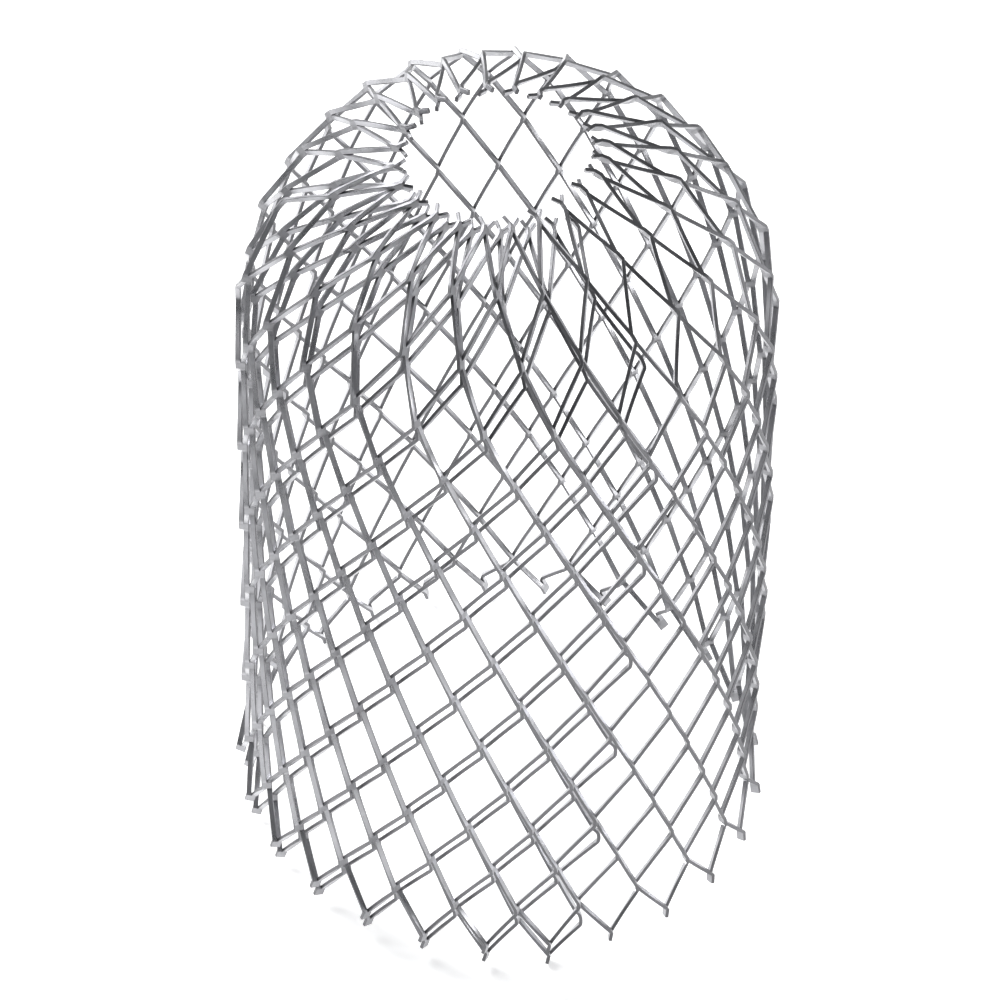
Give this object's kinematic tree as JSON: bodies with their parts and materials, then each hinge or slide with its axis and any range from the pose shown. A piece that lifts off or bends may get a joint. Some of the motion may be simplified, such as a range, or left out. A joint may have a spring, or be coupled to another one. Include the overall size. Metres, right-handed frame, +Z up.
{
  "type": "downspout strainer",
  "caption": "Sleeve of expanded aluminium mesh with overlapping edges, drawn in to a dome with a round hole, that keeps leaves out of a gutter downspout.",
  "frame": {"origin": "centre of the footprint, level with the end of the lowest bottom tip", "axes": "+Z up the sleeve to the domed end; -Y is the side where the two edges overlap most; +X to the right seen from there"},
  "size_m": [0.0834, 0.0804, 0.1404],
  "materials": {
    "aluminium_mesh": "bare, sheared and stretched, no coating"
  },
  "bodies": {
    "root": {"diamond_column_01": "aluminium_mesh", "diamond_column_02": "aluminium_mesh", "diamond_column_03": "aluminium_mesh", "diamond_column_04": "aluminium_mesh", "diamond_column_05": "aluminium_mesh", "diamond_column_06": "aluminium_mesh", "diamond_column_07": "aluminium_mesh", "diamond_column_08": "aluminium_mesh", "diamond_column_09": "aluminium_mesh", "diamond_column_10": "aluminium_mesh", "diamond_column_11": "aluminium_mesh", "diamond_column_12": "aluminium_mesh", "diamond_column_13": "aluminium_mesh", "diamond_column_14": "aluminium_mesh", "diamond_column_15": "aluminium_mesh", "diamond_column_16": "aluminium_mesh", "diamond_column_17": "aluminium_mesh", "diamond_column_18": "aluminium_mesh", "diamond_column_19": "aluminium_mesh", "diamond_column_20": "aluminium_mesh", "diamond_column_21": "aluminium_mesh", "diamond_column_22": "aluminium_mesh", "diamond_column_23": "aluminium_mesh", "diamond_column_24": "aluminium_mesh", "diamond_column_25": "aluminium_mesh", "diamond_column_26": "aluminium_mesh", "diamond_column_27": "aluminium_mesh", "diamond_column_28": "aluminium_mesh", "diamond_column_29": "aluminium_mesh", "diamond_column_30": "aluminium_mesh", "diamond_column_31": "aluminium_mesh", "diamond_column_32": "aluminium_mesh", "diamond_column_33": "aluminium_mesh"}
  },
  "joints": []
}
